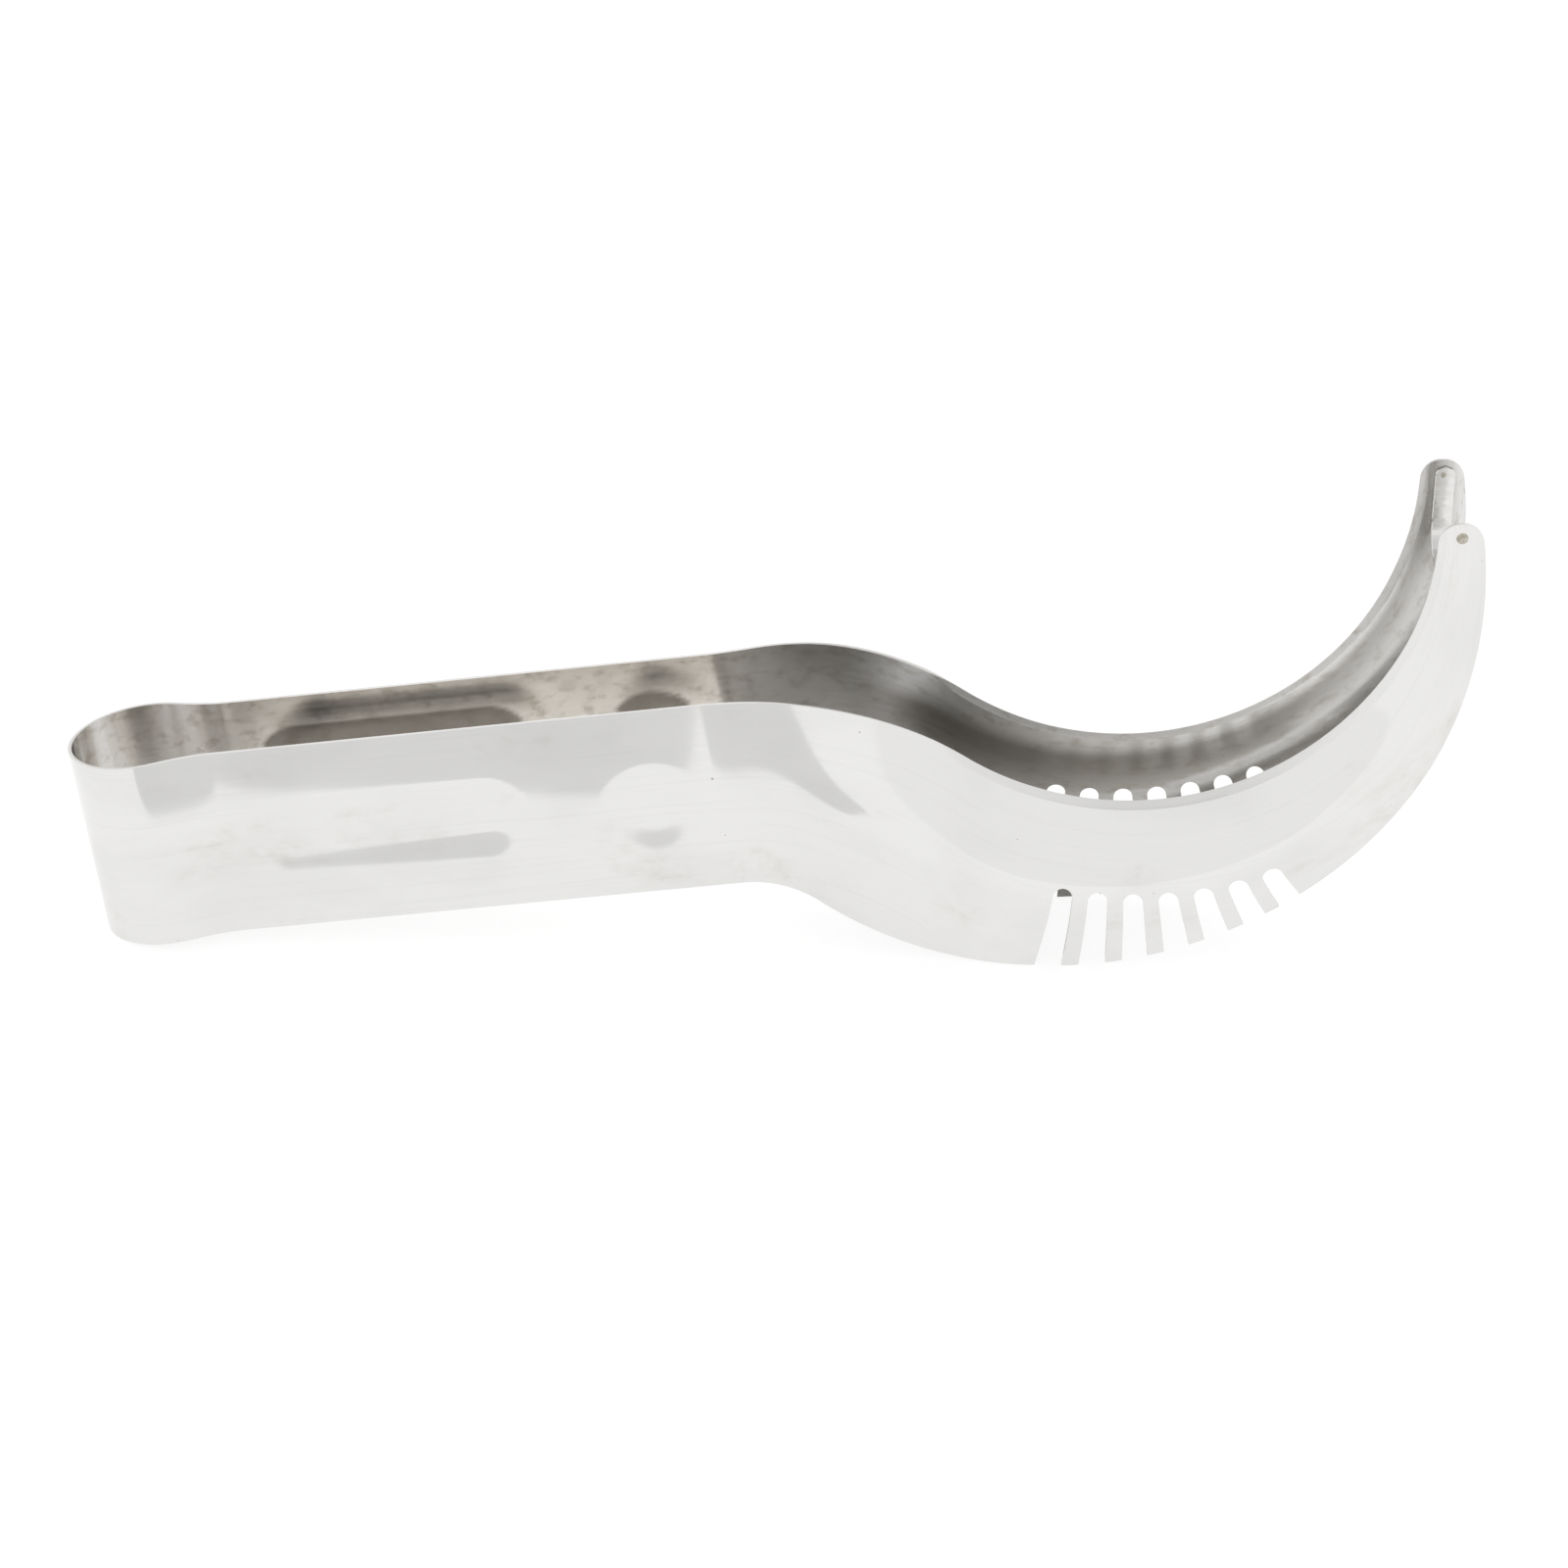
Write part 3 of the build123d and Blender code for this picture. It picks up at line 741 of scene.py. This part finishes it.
def steel(name, tone, from_sheet):
    """Rolled stainless sheet: faint grain along the strip, cloudy staining, a few fine pits, a
    rougher ground edge, a mottled and rougher inside, and painted shade on the inside between the
    arms and in the left handle's pressed features."""
    graph = Graph(name)
    if from_sheet:
        place = graph.add("ShaderNodeAttribute", attribute_name="sheet_place").outputs["Vector"]
        finish_and_shade = graph.add("ShaderNodeAttribute", attribute_name="sheet_finish_and_shade").outputs["Vector"]
        ground, painted_shade, inside = graph.add("ShaderNodeSeparateXYZ", {0: finish_and_shade}).outputs
    else:
        where = graph.add("ShaderNodeTexCoord").outputs["Object"]
        place = graph.add("ShaderNodeMapping", {"Vector": where, "Scale": (1000,) * 3}).outputs[0]
        ground = painted_shade = inside = 0.0
    grain = graph.noise(place, (0.06, 5.5, 1), 4, 0.6)
    streak = graph.noise(place, (0.02, 1.3, 1), 3, 0.55)
    cloud = graph.noise(place, (0.045, 0.07, 1), 3, 0.5)
    stain = graph.noise(place, (0.05, 0.09, 1), 5, 0.55)
    pits = graph.noise(place, (0.9, 1.0, 1), 1, 0.4)
    mottle = graph.noise(place, (0.35, 0.5, 1), 6, 0.65)
    colour = graph.blend(graph.ramp(cloud, 0.4, 0.72), tone, darker(tone, 0.95))
    colour = graph.blend(graph.ramp(streak, 0.5, 0.8, 0, 0.12), colour, STREAK_TONE)
    patches = graph.ramp(mottle, 0.35, 0.7, 0.05, 0.35)
    brown = graph.math("MULTIPLY", graph.ramp(stain, 0.52, 0.8), patches)
    colour = graph.blend(brown, colour, STAIN_TONE)
    any_inside = graph.ramp(inside, 0, HANDLE_BRUSHED)
    not_blade = graph.ramp(inside, HANDLE_BRUSHED, 1, 1, 0)
    handle_inside = graph.math("MULTIPLY", any_inside, not_blade)
    colour = graph.blend(handle_inside, colour, INSIDE_TONE)
    patches = graph.ramp(mottle, 0.48, 0.7, 0.0, 0.5)
    flecks = graph.math("MULTIPLY", any_inside, patches)
    colour = graph.blend(flecks, colour, STAIN_TONE)
    spots = graph.ramp(pits, 0.81, 0.84, 0, 0.5)
    colour = graph.blend(spots, colour, PIT_TONE)
    # Painted shade: dark on the inside between the arms and in the left handle's pressed features
    colour = graph.blend(painted_shade, colour, PAINTED_SHADE_TONE)
    graph.put(graph.shader.inputs["Base Color"], colour)
    graph.put(graph.shader.inputs["Metallic"], 1.0)
    rough = graph.ramp(streak, 0.3, 0.75, 0.07, 0.12)
    rough = graph.math("ADD", rough, graph.math("MULTIPLY", brown, 0.25))
    rough = graph.math("ADD", rough, graph.math("MULTIPLY", inside, 0.15))
    rough = graph.math("ADD", rough, graph.math("MULTIPLY", ground, 0.32))
    graph.put(graph.shader.inputs["Roughness"], rough)
    wave = graph.noise(place, (0.03, 0.04, 1), 1, 0.4)
    soft = graph.add("ShaderNodeBump", {"Height": wave, "Strength": 1.0, "Distance": 0.00005})
    inputs = {"Height": grain, "Strength": 1.0, "Distance": 0.0000006, "Normal": soft.outputs[0]}
    fine = graph.add("ShaderNodeBump", inputs)
    inputs = {"Height": spots, "Strength": 1.0, "Distance": -0.00001, "Normal": fine.outputs[0]}
    pitted = graph.add("ShaderNodeBump", inputs)
    graph.put(graph.shader.inputs["Normal"], pitted.outputs[0])
    return graph.material


def weld_metal(name):
    """Heat-tinted metal of a spot weld: straw and grey-brown patches over a lumpy surface."""
    graph = Graph(name)
    where = graph.add("ShaderNodeTexCoord").outputs["Object"]
    place = graph.add("ShaderNodeMapping", {"Vector": where, "Scale": (1000,) * 3}).outputs[0]
    lumps = graph.noise(place, (2.2, 2.2, 2.2), 4, 0.6)
    tint = graph.blend(graph.ramp(lumps, 0.35, 0.7), *WELD_TONES)
    graph.put(graph.shader.inputs["Base Color"], tint)
    graph.put(graph.shader.inputs["Metallic"], 1.0)
    graph.put(graph.shader.inputs["Roughness"], graph.ramp(lumps, 0.3, 0.7, 0.28, 0.5))
    bump = graph.add("ShaderNodeBump", {"Height": lumps, "Strength": 1.0, "Distance": 0.00004})
    graph.put(graph.shader.inputs["Normal"], bump.outputs[0])
    return graph.material


def paper(name, tone, glow):
    """Translucent matt board with a very fine tooth, lit a little from behind."""
    graph = Graph(name)
    where = graph.add("ShaderNodeTexCoord").outputs["Object"]
    tooth = graph.noise(where, (900, 900, 900), 2, 0.5)
    graph.put(graph.shader.inputs["Base Color"], graph.blend(tooth, darker(tone, 0.985), tone))
    graph.put(graph.shader.inputs["Roughness"], 0.95)
    graph.put(graph.shader.inputs["Specular IOR Level"], 0.0)
    graph.put(graph.shader.inputs["Emission Color"], (1, 1, 1, 1))
    graph.put(graph.shader.inputs["Emission Strength"], glow)
    bump = graph.add("ShaderNodeBump", {"Height": tooth, "Strength": 0.2, "Distance": 0.00005})
    graph.put(graph.shader.inputs["Normal"], bump.outputs[0])
    return graph.material


# ---- the slicer -----------------------------------------------------------------------------

sheet_steel = steel("sheet_steel", SHEET_TONE, True)
blade_steel = steel("blade_steel", BLADE_TONE, False)
weld_steel = weld_metal("weld_steel")

handle_flat = handle_pattern()
blade_flat = blade_pattern()
for side, arm in ((1, "left"), (-1, "right")):
    grip = sheet_piece(arm + "_bend_and_handle", side, *handle_flat)
    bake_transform(grip)
    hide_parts("rear_bow", arm + "_handle")
    blade = sheet_piece(arm + "_toothed_blade", side, *blade_flat)
    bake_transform(blade)
    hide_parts(arm + "_blade")
    for piece in (grip, blade):
        piece.data.materials.append(sheet_steel)
    weld = spot_weld(arm + "_weld_mark", side)
    weld.data.materials.append(weld_steel)
    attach(weld, arm + "_slicer")
    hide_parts(arm + "_spot_weld")

cross = cross_blade()
cross.data.materials.append(blade_steel)
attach(cross, "bow")
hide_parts("cross_blade")

# ---- studio ---------------------------------------------------------------------------------

# Lengths are in metres from here on.
SKY_SIDE = 1.0              # world brightness towards the horizon
SKY_TOP = 0.75              # and overhead
SKY_FADE = (0.5, 0.95)      # z of the directions between which it changes
FLOOR = ((-4, -4), (4, 4))
FLOOR_TONE = (0.3, 0.3, 0.3, 1)
FLOOR_GLOW = 0.8
FRONT_CARD = ((-0.1, -0.12), (-0.014, -0.0615))
FRONT_CARD_TONE = (0.2, 0.2, 0.2, 1)
FRONT_CARD_GLOW = 0.66
# Hidden card of painted shade under the gap between the blades, with painted light growing towards
# the tips
UNDER_CARD = ((0.006, -0.008), (0.09, 0.014))
UNDER_CARD_TONE = (0.02, 0.02, 0.02, 1)
UNDER_CARD_LIGHT = (1, 0.97, 0.92, 1)
EYE = (0.02136, -0.5406, 0.3069)
LOOK_AT = (0.0038, 0, 0.02536)

world = bpy.data.worlds.new("studio")
bpy.context.scene.world = world
world.use_nodes = True
nodes, links = world.node_tree.nodes, world.node_tree.links
nodes["Background"].inputs["Color"].default_value = (1, 1, 1, 1)
heading = nodes.new("ShaderNodeTexCoord")
direction = nodes.new("ShaderNodeSeparateXYZ")
links.new(heading.outputs["Generated"], direction.inputs[0])
fall = nodes.new("ShaderNodeMapRange")
fall.interpolation_type = "SMOOTHSTEP"
links.new(direction.outputs["Z"], fall.inputs["Value"])
fall.inputs["From Min"].default_value, fall.inputs["From Max"].default_value = SKY_FADE
fall.inputs["To Min"].default_value = SKY_SIDE
fall.inputs["To Max"].default_value = SKY_TOP
links.new(fall.outputs[0], nodes["Background"].inputs["Strength"])


def board(name, corners, height, corner, material):
    """Flat board between two opposite (x, y) corners, its own corners rounded."""
    (x0, y0), (x1, y1) = corners
    points = []
    for x, y, turn in ((x1, y1, 0), (x0, y1, 1), (x0, y0, 2), (x1, y0, 3)):
        x -= math.copysign(corner, 2 * x - x0 - x1)
        y -= math.copysign(corner, 2 * y - y0 - y1)
        for step in range(9):
            a = (turn + step / 8) * math.pi / 2
            points.append((x + corner * math.cos(a), y + corner * math.sin(a), height))
    mesh = bpy.data.meshes.new(name)
    mesh.from_pydata(points, [], [tuple(range(len(points)))])
    flat = bpy.data.objects.new(name, mesh)
    bpy.context.scene.collection.objects.link(flat)
    mesh.materials.append(material)
    return flat


def shade_card(name):
    """Dark card of painted shade for the floor between the blades, with painted light growing
    towards the blade tips.
    """
    graph = Graph(name)
    where = graph.add("ShaderNodeTexCoord").outputs["Object"]
    x = graph.add("ShaderNodeSeparateXYZ", {0: where}).outputs[0]
    graph.put(graph.shader.inputs["Base Color"], UNDER_CARD_TONE)
    graph.put(graph.shader.inputs["Roughness"], 0.95)
    graph.put(graph.shader.inputs["Emission Color"], UNDER_CARD_LIGHT)
    graph.put(graph.shader.inputs["Emission Strength"], graph.ramp(x, 0.012, 0.06, 0.1, 0.62))
    return graph.material


floor_paper = paper("floor", FLOOR_TONE, FLOOR_GLOW)
board("floor", FLOOR, height=0.0, corner=0.5, material=floor_paper)
front_paper = paper("front_card", FRONT_CARD_TONE, FRONT_CARD_GLOW)
cards = [
    board("front_card", FRONT_CARD, height=0.0004, corner=0.014, material=front_paper),
    board("under_card", UNDER_CARD, height=0.0002, corner=0.004, material=shade_card("under_card")),
]
# The cards show only in the steel's reflections.
for card in cards:
    card.visible_camera = False
    card.visible_diffuse = False
    card.visible_shadow = False

lens = bpy.data.cameras.new("camera")
lens.lens = 90
lens.sensor_width = 36
camera = bpy.data.objects.new("camera", lens)
bpy.context.scene.collection.objects.link(camera)
camera.location = EYE
aim = Vector(LOOK_AT) - camera.location
camera.rotation_euler = aim.to_track_quat("-Z", "Y").to_euler()
bpy.context.scene.camera = camera
bpy.context.scene.view_settings.view_transform = "Standard"
